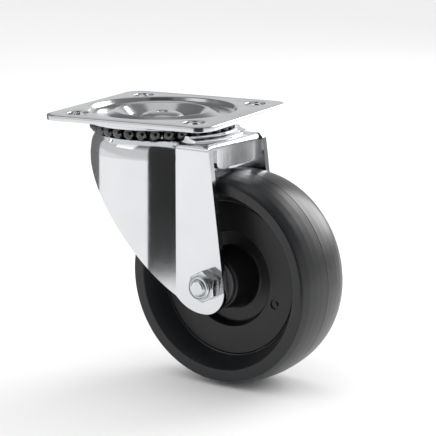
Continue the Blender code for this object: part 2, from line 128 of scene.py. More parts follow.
def noise(place, scale, detail=3.0, stretch=(1, 1, 1), roughness=0.5):
    mapped = place.add("Mapping", {}, {"Vector": place, "Scale": stretch})
    settings = {"Scale": scale, "Detail": detail, "Roughness": roughness}
    return place.add("TexNoise", {}, {"Vector": mapped, **settings})


def step(value, low, high):
    """0 below low, 1 above high, smooth between."""
    ends = {"From Min": low, "From Max": high}
    return value.add("MapRange", {"interpolation_type": "SMOOTHSTEP"}, {"Value": value, **ends})


def zinc_plate(name, tone, cloud_scale, drawn, gloss=0.13):
    """Bright zinc plate on pressed sheet: drawn is the stretch of its faint drawing marks."""
    material, place, shader = start_material(name, Metallic=1.0)
    cloud = step(noise(place, cloud_scale, 4.0), 0.35, 0.7)
    marks = noise(place, 900.0, 2.0, drawn)
    specks = step(noise(place, 2600.0, 1.0), 0.62, 0.75)
    darker = tuple(0.93 * level for level in tone)
    roughness = gloss + 0.05 * cloud + 0.05 * marks + 0.06 * specks
    height = marks + 0.5 * noise(place, 240.0, 2.0)
    feed(place, shader, height, 0.000012, 0.22, Base_Color=cloud.blend(tone, darker), Roughness=roughness)
    return material


def ring(bm, points):
    """A closed loop of edges through the points."""
    verts = [bm.verts.new(point) for point in points]
    return [bm.edges.new((verts[i - 1], verts[i])) for i in range(len(verts))]


def arc(centre, radius, start, end, steps):
    """Points on a circle from the start angle to the end angle, in degrees."""
    angles = [radians(start + (end - start) * i / steps) for i in range(steps + 1)]
    return [(centre[0] + radius * cos(a), centre[1] + radius * sin(a)) for a in angles]


def softened(corners, radii, steps=6, closed=True):
    """An outline whose corners are replaced by arcs of their own radii."""
    outline = []
    for i, corner in enumerate(corners):
        here = Vector(corner)
        if radii[i] == 0 or (not closed and i in (0, len(corners) - 1)):
            outline.append(tuple(here))
            continue
        before = (Vector(corners[i - 1]) - here).normalized()
        after = (Vector(corners[(i + 1) % len(corners)]) - here).normalized()
        half = before.angle(after) / 2
        middle = here + (before + after).normalized() * radii[i] / sin(half)
        first = here + before * radii[i] / tan(half) - middle
        last = here + after * radii[i] / tan(half) - middle
        start = atan2(first.y, first.x)
        sweep = (atan2(last.y, last.x) - start + pi) % (2 * pi) - pi
        for k in range(steps + 1):
            angle = start + sweep * k / steps
            outline.append((middle.x + radii[i] * cos(angle), middle.y + radii[i] * sin(angle)))
    return outline


def turned(section, steps, axis="Z"):
    """A solid of revolution from the (radius, height) points that run round its section."""
    bm = bmesh.new()
    along = Vector((0, 0, 1)) if axis == "Z" else Vector((0, 1, 0))
    points = [(r, 0, h) if axis == "Z" else (r, h, 0) for r, h in section]
    verts = [bm.verts.new(point) for point in points]
    pairs = list(zip(verts, verts[1:]))
    if section[0][0] > 0 or section[-1][0] > 0:
        pairs.append((verts[-1], verts[0]))
    edges = [bm.edges.new(pair) for pair in pairs]
    bmesh.ops.spin(bm, geom=verts + edges, cent=(0, 0, 0), axis=along, angle=2 * pi,
                   steps=steps, use_merge=True)
    return bm


def finished(name, bm, material, body, slot, *nodes, place=Matrix(), crease=35.0):
    """Closes a piece's mesh, puts it in place and hands it to its body."""
    bmesh.ops.remove_doubles(bm, verts=bm.verts, dist=2e-6)
    bmesh.ops.recalc_face_normals(bm, faces=bm.faces)
    bmesh.ops.transform(bm, matrix=place, verts=bm.verts)
    mesh = bpy.data.meshes.new(name)
    bm.to_mesh(mesh)
    bm.free()
    mesh.shade_smooth()
    mesh.set_sharp_from_angle(angle=radians(crease))
    piece = bpy.data.objects.new(name, mesh)
    bpy.context.scene.collection.objects.link(piece)
    mesh.materials.append(material)
    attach(piece, body)
    if nodes:
        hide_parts(*nodes)
    return piece


plate_low, plate_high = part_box("top_plate")
PLATE_SHEET = 2.5 * MM
PLATE_CORNER = 8.0 * MM
PLATE_EDGE = 0.5 * MM
SLOT_INSET = 12.5 * MM
SLOT_WIDTH = 9.0 * MM
SLOT_LENGTH = 11.5 * MM
SLOT_EDGE = 0.3 * MM
DISH_RADIUS = 36.5 * MM
DISH_STEPS = 144
ZINC = (0.70, 0.71, 0.73)
zinc_sheet = zinc_plate("zinc plated sheet", ZINC, 38.0, (0.06, 1, 1))


def plate_outline(inset):
    """The plate's rounded square, drawn in by the inset."""
    corners = [(plate_low.x + inset, plate_low.y + inset), (plate_high.x - inset, plate_low.y + inset),
               (plate_high.x - inset, plate_high.y - inset), (plate_low.x + inset, plate_high.y - inset)]
    return softened(corners, [PLATE_CORNER - inset] * 4, 10)


def slot_outline(x, y, growth):
    """A slot's outline about its middle, widened by the growth."""
    straight = (SLOT_LENGTH - SLOT_WIDTH) / 2
    radius = SLOT_WIDTH / 2 + growth
    return arc((x, y + straight), radius, 0, 180, 14) + arc((x, y - straight), radius, 180, 360, 14)


def circle(radius, steps):
    return [(radius * cos(2 * pi * i / steps), radius * sin(2 * pi * i / steps)) for i in range(steps)]


def build_plate():
    bm = bmesh.new()
    slots = [(x, y) for x in (plate_low.x + SLOT_INSET, plate_high.x - SLOT_INSET)
             for y in (plate_low.y + SLOT_INSET, plate_high.y - SLOT_INSET)]
    outlines = [(plate_outline, (), PLATE_EDGE)] + [(slot_outline, slot, SLOT_EDGE) for slot in slots]
    flats = {0.0: [], -PLATE_SHEET: []}
    for shape, where, edge in outlines:
        upper = []
        lower = []
        for angle in (0.0, 30.0, 60.0, 90.0):
            outline = shape(*where, edge * (1 - sin(radians(angle))))
            drop = edge * (1 - cos(radians(angle)))
            upper.append(ring(bm, [(x, y, -drop) for x, y in outline]))
            lower.append(ring(bm, [(x, y, drop - PLATE_SHEET) for x, y in outline]))
        loops = upper + lower[::-1]
        for first, second in zip(loops, loops[1:]):
            bmesh.ops.bridge_loops(bm, edges=first + second)
        flats[0.0] += loops[0]
        flats[-PLATE_SHEET] += loops[-1]
    for z, edges in flats.items():
        rim = ring(bm, [(x, y, z) for x, y in circle(DISH_RADIUS, DISH_STEPS)])
        bmesh.ops.triangle_fill(bm, use_beauty=True, edges=edges + rim, normal=(0, 0, 1))
    return bm


TROUGH_DEPTH = 2.7 * MM
RIDGE_RADIUS = 22.0 * MM
RIDGE_DEPTH = 0.8 * MM
CUP_RADIUS = 17.0 * MM
CUP_DEPTH = 5.0 * MM
KINGPIN_BORE = 5.3 * MM
UPPER_ROW = 31.5 * MM
UPPER_DEPTH = 7.4 * MM
BALL_TRACK = 3.3 * MM


def build_dish(bm):
    """The pressed dish from the plate's opening inwards, over the ridge and into the cup."""
    top = [(DISH_RADIUS, 0), (DISH_RADIUS - 1.0 * MM, 0), (DISH_RADIUS - 2.4 * MM, -TROUGH_DEPTH),
           (RIDGE_RADIUS + 5.0 * MM, -TROUGH_DEPTH), (RIDGE_RADIUS, -RIDGE_DEPTH + 0.3 * MM),
           (CUP_RADIUS, -CUP_DEPTH), (KINGPIN_BORE, -CUP_DEPTH)]
    upper = softened(top, [0, 0.9 * MM, 2.0 * MM, 4.0 * MM, 1.5 * MM, 1.6 * MM, 0], 8, False)
    under = -TROUGH_DEPTH - PLATE_SHEET
    gap = asin((UPPER_DEPTH + under) / BALL_TRACK) * 180 / pi
    track = arc((UPPER_ROW, -UPPER_DEPTH), BALL_TRACK, 180 - gap, gap, 12)
    lower = [(KINGPIN_BORE, -CUP_DEPTH - PLATE_SHEET), (CUP_RADIUS + 1.0 * MM, -CUP_DEPTH - PLATE_SHEET),
             (RIDGE_RADIUS + 2.5 * MM, under)]
    lower = softened(lower, [0, 2.0 * MM, 0], 6, False) + track
    lower += softened([(DISH_RADIUS - 0.6 * MM, under), (DISH_RADIUS, under + 0.6 * MM),
                       (DISH_RADIUS, -PLATE_SHEET)], [0, 0.4 * MM, 0], 4, False)
    verts = [bm.verts.new((r, 0, z)) for r, z in upper + lower]
    edges = [bm.edges.new(pair) for pair in zip(verts, verts[1:])]
    bmesh.ops.spin(bm, geom=verts + edges, cent=(0, 0, 0), axis=(0, 0, 1), angle=2 * pi,
                   steps=DISH_STEPS, use_merge=True)
    return bm


finished("mounting_plate_pressing", build_dish(build_plate()), zinc_sheet, "mounting_plate",
         "zinc_plated_steel", "top_plate", crease=40.0)


# ---------------------------------------------------------------------------------------------
# Kingpin: a turned steel rivet through the middle, with a domed head that has a small centre
# dimple and a foot swaged over the lower race cup. Its turning marks run round the axis.
# ---------------------------------------------------------------------------------------------
def turned_zinc(name, centre, tilt, tone=(0.74, 0.75, 0.77)):
    """Zinc on turned steel: rings about an axis through centre, tilt turning that axis from Z."""
    material, place, shader = start_material(name, Metallic=1.0)
    local = place.add("Mapping", {"vector_type": "TEXTURE"},
                      {"Vector": place, "Location": centre, "Rotation": tilt})
    rings = local.add("TexWave", {"wave_type": "RINGS", "rings_direction": "Z"},
                      {"Vector": local, "Scale": 700.0, "Distortion": 1.2, "Detail": 1.0})
    cloud = step(noise(place, 120.0), 0.3, 0.75)
    worn = tuple(0.85 * level for level in tone)
    feed(place, shader, rings, 0.00001, 0.25, Base_Color=cloud.blend(tone, worn),
         Roughness=0.16 + 0.10 * cloud + 0.05 * rings)
    return material


pin_low, pin_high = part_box("kingpin")
PIN_HEAD = 10.5 * MM
PIN_SEAT = -4.7 * MM
PIN_RADIUS = 5.0 * MM
PIN_FOOT = 9.5 * MM
PIN_FOOT_HEIGHT = 3.5 * MM

head = [(0, pin_high.z - 1.7 * MM), (1.2 * MM, pin_high.z - 1.6 * MM), (2.6 * MM, pin_high.z - 0.35 * MM),
        (3.8 * MM, pin_high.z), (7.0 * MM, pin_high.z - 0.5 * MM), (9.4 * MM, pin_high.z - 1.5 * MM),
        (PIN_HEAD, pin_high.z - 2.6 * MM), (PIN_HEAD, PIN_SEAT), (PIN_RADIUS, PIN_SEAT)]
foot_top = pin_low.z + PIN_FOOT_HEIGHT
foot = [(PIN_RADIUS, foot_top), (PIN_FOOT, foot_top), (PIN_FOOT, foot_top - 1.6 * MM),
        (0.6 * PIN_FOOT, pin_low.z), (0, pin_low.z)]
head_rounds = [0, 0.8 * MM, 0.8 * MM, 1.2 * MM, 6 * MM, 4 * MM, 0.8 * MM, 0.3 * MM, 0.2 * MM]
foot_rounds = [0.2 * MM, 0.3 * MM, 1.0 * MM, 1.0 * MM, 0]
section = softened(head + foot, head_rounds + foot_rounds, 5, False)
pin_metal = turned_zinc("zinc on turned steel", (0, 0, 0), (0, 0, 0))
finished("kingpin_rivet", turned(section, 96), pin_metal, "mounting_plate",
         "zinc_plated_fastener", "kingpin")


# ---------------------------------------------------------------------------------------------
# Lower race cup: a small pressed ring under the crown that the kingpin's foot holds up.
# Zinc plate, with a rolled rim and the groove that the lower balls run in.
# ---------------------------------------------------------------------------------------------
cup_low, cup_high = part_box("lower_race_cup")
LOWER_ROW = 14.0 * MM
LOWER_DEPTH = 15.0 * MM


def build_race_cup():
    rise = asin((LOWER_DEPTH + cup_high.z) / BALL_TRACK) * 180 / pi
    track = arc((LOWER_ROW, -LOWER_DEPTH), BALL_TRACK, 180 - rise, 360 + rise, 20)
    rim = softened([track[-1], (cup_high.x, cup_high.z), (cup_high.x, cup_low.z), (KINGPIN_BORE, cup_low.z),
                    (KINGPIN_BORE, cup_high.z)], [0, 0.6 * MM, 1.4 * MM, 0.3 * MM, 0.3 * MM], 5, False)
    return turned(track + rim[1:], 96)


finished("lower_race", build_race_cup(), zinc_sheet, "mounting_plate", "zinc_plated_steel", "lower_race_cup")


# ---------------------------------------------------------------------------------------------
# Bearing balls: 6 mm hardened steel, 32 in the upper row and 14 in the lower one, polished and wet with a
# film of grease in patches. Their steel and grease colours are painted far darker than bare steel, as painted
# shade for the dark gap under the plate. They lie loose in their tracks, one beside the other.
# ---------------------------------------------------------------------------------------------
# The ball colours are painted shade: bare steel would be far lighter, and the dark tone stands for the shadow
# in the gap under the plate. The grease patches are real and darker still.
BALL_STEEL_IN_PAINTED_SHADE = (0.12, 0.12, 0.13)
BALL_GREASE_IN_PAINTED_SHADE = (0.05, 0.05, 0.045)
ball_metal, place, shader = start_material("greased ball steel in painted shade", Metallic=1.0, Coat_Roughness=0.25)
film = step(noise(place, 300.0, 3.0), 0.4, 0.7)
feed(place, shader, Base_Color=film.blend(BALL_STEEL_IN_PAINTED_SHADE, BALL_GREASE_IN_PAINTED_SHADE), Roughness=0.08 + 0.14 * film,
     Coat_Weight=0.5 * film)

for node in frame["record"]["behaviour"]["bodies"]["ball_rows"]:
    low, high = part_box(node)
    bm = bmesh.new()
    bmesh.ops.create_uvsphere(bm, u_segments=28, v_segments=18, radius=(high.z - low.z) / 2)
    bmesh.ops.translate(bm, verts=bm.verts, vec=(low + high) / 2)
    finished(node.replace("ball", "bearing_ball"), bm, ball_metal, "ball_rows", "ball_steel", node)


# ---------------------------------------------------------------------------------------------
# Fork: one pressing of 3 mm steel. The crown carries both ball tracks, the front is a round
# shell about the swivel axis, and the sides run back as flat legs that hold the axle. A short
# flange is turned down between the legs. Bright zinc plate like the mounting plate.
# ---------------------------------------------------------------------------------------------
spin = next(joint for joint in frame["joints"] if joint["name"] == "wheel_spin")
spin_axis = Vector(spin["axis"])
spin_place = Vector(spin["pos_m"])
fork_turn = Matrix.Rotation(atan2(-spin_axis.x, spin_axis.y), 4, "Z")
trail = sqrt(spin_place.x ** 2 + spin_place.y ** 2)
axle_z = spin_place.z

FORK_SHEET = 3.0 * MM
FORK_WIDTH = 47.0 * MM
NECK_RADIUS = 36.5 * MM
NECK_DEPTH = 8.0 * MM
BRIM_RADIUS = 39.5 * MM
NECK_HALF_ANGLE = 36.0
NECK_FADE = 6.0
BRIM_DEPTH = 9.8 * MM
WEB_DEPTH = 9.9 * MM
CROWN_DEPTH = 10.8 * MM
CROWN_REACH = 42.0 * MM
CROWN_BEND = 3.0 * MM
SHELL_RADIUS = 34.2 * MM
SHOULDER_DROP = 10.0 * MM
FRONT_STEPS = 60
BEHIND_STEPS = 20
FILLET_WIDE = 1.7 * MM
FILLET_HIGH = 3.0 * MM
FOLD_RADIUS = 1.6 * MM
LEG_SLANT = 0.131
LEG_END_DROP = 14.4 * MM
SHELL_CUT_SLOPE = 1.19
EDGE_ROUND = 0.45 * MM
zinc_fork = zinc_plate("zinc plated fork", (0.77, 0.78, 0.80), 30.0, (1, 1, 0.05), 0.07)


def prism(outline, low, high, plane):
    """An outline extruded between two levels along the axis across its plane."""
    points = {"XY": [(a, b, low) for a, b in outline], "XZ": [(a, low, b) for a, b in outline],
              "YZ": [(low, a, b) for a, b in outline]}[plane]
    along = {"XY": Vector((0, 0, 1)), "XZ": Vector((0, 1, 0)), "YZ": Vector((1, 0, 0))}[plane]
    bm = bmesh.new()
    face = bm.faces.new([bm.verts.new(point) for point in points])
    grown = bmesh.ops.extrude_face_region(bm, geom=[face])
    moved = [v for v in grown["geom"] if isinstance(v, bmesh.types.BMVert)]
    bmesh.ops.translate(bm, verts=moved, vec=along * (high - low))
    bmesh.ops.recalc_face_normals(bm, faces=bm.faces)
    return bm


def joined(first, second, operation="UNION", near=False):
    """Two closed shapes made one by a Boolean; near is for faces that run close beside each other."""
    objects = []
    for bm in (first, second):
        bmesh.ops.remove_doubles(bm, verts=bm.verts, dist=2e-6)
        bmesh.ops.recalc_face_normals(bm, faces=bm.faces)
        mesh = bpy.data.meshes.new("work")
        bm.to_mesh(mesh)
        bm.free()
        objects.append(bpy.data.objects.new("work", mesh))
        bpy.context.scene.collection.objects.link(objects[-1])
    modifier = objects[0].modifiers.new("join", "BOOLEAN")
    modifier.operation = operation
    modifier.object = objects[1]
    modifier.solver = "EXACT"
    modifier.use_self = near
    result = bmesh.new()
    shape = objects[0].evaluated_get(bpy.context.evaluated_depsgraph_get())
    result.from_mesh(shape.to_mesh())
    for work in objects:
        bpy.data.objects.remove(work, do_unlink=True)
    return result


def lofted(sections):
    """A closed shape about Z through (angle, section) pairs that run once round it."""
    bm = bmesh.new()
    loops = []
    for angle, section in sections:
        turn = Matrix.Rotation(radians(angle), 3, "Z")
        loops.append([bm.verts.new(turn @ Vector((r, 0, z))) for r, z in section])
    for loop, after in zip(loops, loops[1:] + loops[:1]):
        for i in range(len(loop)):
            bm.faces.new((loop[i - 1], loop[i], after[i], after[i - 1]))
    return bm


def wall_section(radius, y_leg, reach, fold):
    """Plan of one face of the wall: far leg, round shell, near leg."""
    bend = asin(y_leg / radius) * 180 / pi
    corner = (radius * cos(radians(bend)), y_leg)
    shell = arc((0, 0), radius, bend + 3, 357 - bend, 96)
    outline = [(reach, y_leg), corner] + shell + [(corner[0], -y_leg), (reach, -y_leg)]
    return softened(outline, [0, fold] + [0] * len(shell) + [fold, 0], 6, False)


def build_fork():
    half = FORK_WIDTH / 2
    crown_under = -LOWER_DEPTH + BALL_TRACK - 1.2 * MM
    end_bottom = axle_z - LEG_END_DROP
    rear_top = CROWN_REACH + 0.9 * MM
    rear_bottom = rear_top - LEG_SLANT * (end_bottom + CROWN_DEPTH)
    cut_x = trail - 12.6 * MM
    reach = rear_bottom + 2 * MM
    outer = wall_section(SHELL_RADIUS, half, reach, FOLD_RADIUS)
    inner = wall_section(SHELL_RADIUS - FORK_SHEET, half - FORK_SHEET, reach, FOLD_RADIUS + FORK_SHEET)
    low = end_bottom - 1 * MM
    fork = prism(outer + inner[::-1], low, 0, "XY")

    skirt_low = -CROWN_DEPTH - SHOULDER_DROP
    top = skirt_low + 1.5 * MM
    cut_top_x = cut_x - (top - end_bottom) / SHELL_CUT_SLOPE
    leg_start = sqrt(SHELL_RADIUS ** 2 - half ** 2) + 0.15 * MM
    side = [(cut_x, end_bottom), (rear_bottom, end_bottom), (rear_top, -CROWN_DEPTH),
            (leg_start, -CROWN_DEPTH), (leg_start, top), (cut_top_x, top)]
    outline = softened(side, [20 * MM, 11 * MM, CROWN_BEND, 0, 0, 0], 14)
    fork = joined(fork, prism(outline, -60 * MM, 60 * MM, "XZ"), "INTERSECT")

    bore = PIN_RADIUS + 0.6 * MM
    rise = asin((UPPER_DEPTH - NECK_DEPTH) / BALL_TRACK) * 180 / pi
    lip = UPPER_ROW - BALL_TRACK - 0.5 * MM
    row = (UPPER_ROW, -UPPER_DEPTH)
    track = arc(row, BALL_TRACK, 180 - rise, 268, 12)
    dip = asin((LOWER_DEPTH + crown_under) / BALL_TRACK) * 180 / pi
    lower_track = arc((LOWER_ROW, -LOWER_DEPTH), BALL_TRACK, dip, 180 - dip, 12)
    web = [(bore, -WEB_DEPTH), (lip - 2.5 * MM, -WEB_DEPTH), (lip - 1.2 * MM, -NECK_DEPTH), track[0]]
    web = softened(web, [0, 1.2 * MM, 0.6 * MM, 0], 6, False)
    corners = [(NECK_RADIUS, -NECK_DEPTH), (NECK_RADIUS + 0.4 * MM, -BRIM_DEPTH + 0.7 * MM),
               (BRIM_RADIUS, -BRIM_DEPTH), (BRIM_RADIUS, -BRIM_DEPTH - 1.1 * MM),
               (SHELL_RADIUS - 0.4 * MM, crown_under)]
    neck = arc(row, BALL_TRACK, 285, 360 + rise, 5)
    neck += softened([neck[-1]] + corners + [lower_track[0]],
                     [0, 0.6 * MM, 1.0 * MM, 0.4 * MM, 0.4 * MM, 1.0 * MM, 0], 4, False)[1:-1]
    drops = [(-2.5, -0.1), (-2.2, 0.6), (-1.8, 1.3), (-1.4, 2.0), (-1.05, 2.9), (-0.7, 3.9), (-0.5, 5.2),
             (-0.3, 6.7)]
    skirt_inner = SHELL_RADIUS - FORK_SHEET + 0.05 * MM
    skirt = [(SHELL_RADIUS + r * MM, -CROWN_DEPTH - z * MM) for r, z in drops]
    skirt += [(SHELL_RADIUS - 0.05 * MM, skirt_low), (skirt_inner, skirt_low)]
    under = (skirt_inner - 2 * MM, crown_under)
    steps = len(neck) - len(skirt)
    turns = [i * pi / 2 / steps for i in range(1, steps + 1)]
    skirt += [(under[0] + FILLET_WIDE * cos(turn), under[1] - FILLET_HIGH * (1 - sin(turn)))
              for turn in turns]
    end = lower_track + [(bore, crown_under)]
    clear = NECK_HALF_ANGLE + NECK_FADE
    front = [(180 + i * (180 - clear) / FRONT_STEPS, web[:-1] + track + skirt + end)
             for i in range(-FRONT_STEPS, FRONT_STEPS + 1)]
    behind = [(NECK_HALF_ANGLE * i / BEHIND_STEPS, web[:-1] + track + neck + end)
              for i in range(-BEHIND_STEPS, BEHIND_STEPS + 1)]
    fork = joined(fork, lofted(front + behind), "UNION", True)

    rear_start = 27 * MM
    rear_low = -CROWN_DEPTH - FORK_SHEET
    rear_view = [(rear_start, rear_low), (CROWN_REACH, rear_low), (CROWN_REACH, -CROWN_DEPTH),
                 (rear_start, -CROWN_DEPTH)]
    rear = prism(softened(rear_view, [0, 0, CROWN_BEND, 0], 10), -half, half, "XZ")
    fork = joined(fork, rear)
    bend_start = leg_start + 0.3 * MM
    bend_top = -NECK_DEPTH + 1 * MM
    for side in (-1, 1):
        middle = (side * (half - CROWN_BEND), -CROWN_DEPTH - CROWN_BEND)
        curve = arc(middle, CROWN_BEND, 90, 90 - side * 90, 12)
        past = side * (half + 1 * MM)
        corner = curve + [(past, middle[1]), (past, bend_top), (middle[0], bend_top)]
        fork = joined(fork, prism(corner, bend_start, CROWN_REACH + 1 * MM, "YZ"), "DIFFERENCE")

    width = 15.0 * MM
    flange_low = -23.0 * MM
    flange_top = -CROWN_DEPTH - CROWN_BEND
    corners = [(-width, flange_top), (width, flange_top), (width, flange_low), (-width, flange_low)]
    flange_view = softened(corners, [0, 0, 3 * MM, 3 * MM], 6)
    fork = joined(fork, prism(flange_view, CROWN_REACH - FORK_SHEET, CROWN_REACH - 0.05 * MM, "YZ"))
    bore_radius = 4.3 * MM
    drill = [(0, -FORK_WIDTH), (bore_radius, -FORK_WIDTH), (bore_radius, FORK_WIDTH), (0, FORK_WIDTH)]
    hole = turned(drill, 48, "Y")
    bmesh.ops.translate(hole, verts=hole.verts, vec=(trail, 0, axle_z))
    return joined(fork, hole, "DIFFERENCE")


fork_piece = finished("fork_pressing", build_fork(), zinc_fork, "swivel_fork", "zinc_plated_steel", "fork",
                      place=fork_turn, crease=30.0)
rounding = fork_piece.modifiers.new("edges", "BEVEL")
rounding.width = EDGE_ROUND
rounding.segments = 2
rounding.limit_method = "ANGLE"
rounding.angle_limit = radians(40)


# ---------------------------------------------------------------------------------------------
# Wheel: a solid tyre with a slightly crowned tread on a moulded web with a hub, all of black plastic. The
# tread shows its parting line, the sides a step near the tread's edge, and the web a round gate mark. The web
# is the same plastic as the tyre, painted darker as shade for its recess. The satin surface has the fine
# grain of the mould.
# ---------------------------------------------------------------------------------------------
axle_place = fork_turn @ Matrix.Translation((trail, 0, axle_z))
axle_tilt = (radians(-90), 0, atan2(-spin_axis.x, spin_axis.y))


def moulded(name, tone, gloss, grain):
    material, place, shader = start_material(name, Specular_IOR_Level=0.5)
    local = place.add("Mapping", {"vector_type": "TEXTURE"},
                      {"Vector": place, "Location": tuple(spin_place), "Rotation": axle_tilt})
    flow = step(noise(local, 26.0, 3.0, (1, 1, 0.3)), 0.3, 0.75)
    fine = noise(place, 2400.0, 2.0)
    dust = step(noise(place, 700.0, 4.0), 0.58, 0.8)
    dusty = tuple(2.2 * level + 0.01 for level in tone)
    feed(place, shader, fine, 0.00002, grain, Base_Color=(0.35 * dust).blend(tone, dusty),
         Roughness=gloss + 0.08 * flow + 0.06 * fine)
    return material


TREAD = moulded("black tyre plastic", (0.008, 0.0085, 0.010), 0.24, 0.35)
# Painted shade: the web is the same black plastic as the tyre. It gets half the tyre's tone to stand for the
# shade inside the recessed side ring.
SHADED_WEB = moulded("black web plastic darkened as painted shade", (0.004, 0.004, 0.0045), 0.30, 0.30)
tyre_low, tyre_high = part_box("tyre")
WHEEL_RADIUS = (tyre_high.z - tyre_low.z) / 2 - 0.05 * MM
WHEEL_HALF = 17.5 * MM
TREAD_CROWN = 2.4 * MM
SIDE_RING = 41.8 * MM
WEB_RADIUS = 36.0 * MM
WEB_HALF = 7.5 * MM
HUB_RADIUS = 12.5 * MM
HUB_END = WHEEL_HALF + 0.6 * MM
BUSH_SEAT = 8.5 * MM
WHEEL_STEPS = 180


def mirrored(side):
    """A section's other half, so that both sides of the wheel are alike."""
    return side + [(r, -y) for r, y in side[::-1] if y != 0]


def build_tyre():
    crease = WHEEL_RADIUS - 2.9 * MM
    side = [(WHEEL_RADIUS - 0.16 * MM, 0), (WHEEL_RADIUS - 0.02 * MM, 0.16 * MM),
            (WHEEL_RADIUS - 0.2 * MM, 0.25 * WHEEL_HALF), (WHEEL_RADIUS - 0.62 * MM, 0.5 * WHEEL_HALF),
            (WHEEL_RADIUS - 1.3 * MM, 0.75 * WHEEL_HALF), (WHEEL_RADIUS - TREAD_CROWN, WHEEL_HALF - 1.0 * MM),
            (crease, WHEEL_HALF - 0.25 * MM), (crease - 0.35 * MM, WHEEL_HALF - 0.45 * MM),
            (crease - 0.8 * MM, WHEEL_HALF), (SIDE_RING, WHEEL_HALF),
            (WEB_RADIUS + 0.8 * MM, WEB_HALF + 0.3 * MM), (WEB_RADIUS + 0.3 * MM, WEB_HALF)]
    radii = [0, 0, 20 * MM, 20 * MM, 14 * MM, 2.5 * MM, 0.15 * MM, 0.1 * MM, 0.25 * MM, 0.8 * MM, 0.4 * MM, 0]
    return turned(mirrored(softened(side, radii, 6, False)), WHEEL_STEPS, "Y")


def build_centre():
    side = [(WEB_RADIUS, WEB_HALF - 0.3 * MM), (WEB_RADIUS - 0.3 * MM, WEB_HALF), (22.9 * MM, WEB_HALF),
            (21.6 * MM, 2.8 * MM), (14.5 * MM, 2.8 * MM), (HUB_RADIUS, HUB_END),
            (BUSH_SEAT + 0.5 * MM, HUB_END), (BUSH_SEAT, HUB_END - 0.5 * MM)]
    radii = [0, 0, 0.5 * MM, 1.2 * MM, 1.2 * MM, 0.7 * MM, 0, 0]
    return turned(mirrored(softened(side, radii, 6, False)), WHEEL_STEPS, "Y")


GATE_PLACE = (25.9 * MM, -9.0 * MM)
GATE_RADIUS = 2.4 * MM


def with_gate_mark(web):
    """The web with a round gate mark, a shallow ring with a raised middle, on its near side."""
    face = -WEB_HALF
    mark = [(0.5 * GATE_RADIUS, face - 1 * MM), (GATE_RADIUS, face - 1 * MM), (GATE_RADIUS, face + 0.7 * MM),
            (0.5 * GATE_RADIUS, face + 0.7 * MM)]
    groove = turned(mark, 40, "Y")
    bmesh.ops.translate(groove, verts=groove.verts, vec=(GATE_PLACE[0], 0, GATE_PLACE[1]))
    return joined(web, groove, "DIFFERENCE")


finished("tyre_moulding", build_tyre(), TREAD, "wheel", "black_plastic", "tyre", place=axle_place)
finished("wheel_web", with_gate_mark(build_centre()), SHADED_WEB, "wheel", "black_plastic", "wheel_centre",
         place=axle_place)


# ---------------------------------------------------------------------------------------------
# Bushes and sleeve: a flanged plain bush pressed into each end of the hub, turning on a steel
# sleeve that keeps the legs apart.
# ---------------------------------------------------------------------------------------------
GAP = 0.3 * MM
BUSH_BORE = 6.3 * MM
BUSH_RADIUS = 8.2 * MM
BUSH_FLANGE_RADIUS = 11.0 * MM
BUSH_FLANGE = 1.2 * MM
BUSH_LENGTH = 12.0 * MM
SLEEVE_BORE = 4.3 * MM
SLEEVE_RADIUS = 6.0 * MM
BUSH = moulded("grey bush plastic", (0.05, 0.05, 0.054), 0.42, 0.2)
axle_metal = turned_zinc("zinc on the axle", tuple(spin_place), axle_tilt)
for name, side in (("bush_near", -1), ("bush_far", 1)):
    foot = HUB_END + GAP
    face = foot + BUSH_FLANGE
    tail = HUB_END - BUSH_LENGTH
    section = [(BUSH_BORE, tail), (BUSH_RADIUS, tail), (BUSH_RADIUS, foot), (BUSH_FLANGE_RADIUS, foot),
               (BUSH_FLANGE_RADIUS, face), (BUSH_BORE, face)]
    outline = softened(section, [0, 0.4 * MM, 0.2 * MM, 0.3 * MM, 0.4 * MM, 0.3 * MM], 4)
    finished(name + "_moulding", turned([(r, side * y) for r, y in outline], 64, "Y"), BUSH, "wheel",
             "bush_plastic", name, place=axle_place)
sleeve_end = FORK_WIDTH / 2 - FORK_SHEET - GAP
section = [(SLEEVE_BORE, -sleeve_end), (SLEEVE_RADIUS, -sleeve_end), (SLEEVE_RADIUS, sleeve_end),
           (SLEEVE_BORE, sleeve_end)]
section = softened(section, [0.3 * MM] * 4, 3)
finished("spacer_sleeve", turned(section, 64, "Y"), axle_metal, "swivel_fork", "zinc_plated_fastener",
         "axle_sleeve", place=axle_place)


# ---------------------------------------------------------------------------------------------
# Axle bolt and lock nut: an M8 hexagon bolt from the far side, and a lock nut on the near side
# whose round collar holds a nylon ring. Forged and rolled steel, zinc plated.
# ---------------------------------------------------------------------------------------------
HEX = 13.0 * MM
BOLT_RADIUS = 4.0 * MM
SEAT = FORK_WIDTH / 2 + GAP
HEAD_HEIGHT = 5.3 * MM
NUT_HEX = 5.6 * MM
NUT_COLLAR = 2.4 * MM
COLLAR_RADIUS = 5.7 * MM
BOLT_END = -SEAT - NUT_HEX - NUT_COLLAR - 1.0 * MM
PITCH = 1.25 * MM
NYLON_BORE = 4.1 * MM
NYLON_RADIUS = 4.85 * MM


def hexagon_prism(low, high):
    corner = HEX / sqrt(3)
    outline = [(corner * sin(i * pi / 3), corner * cos(i * pi / 3)) for i in range(6)]
    return prism(outline, low, high, "XZ")


def chamfered(hexagon, low, high, cut_low, cut_high):
    """The hexagon with its corners turned down to a 30 degree cone at one or both ends."""
    corner = HEX / sqrt(3) + 0.05 * MM
    flat = HEX / 2 - 0.25 * MM
    drop = (corner - flat) * tan(radians(30))
    cone = [(0, low), (flat if cut_low else corner, low), (corner, low + drop if cut_low else low),
            (corner, high - drop if cut_high else high), (flat if cut_high else corner, high), (0, high)]
    return joined(hexagon, turned(cone, 96, "Y"), "INTERSECT")


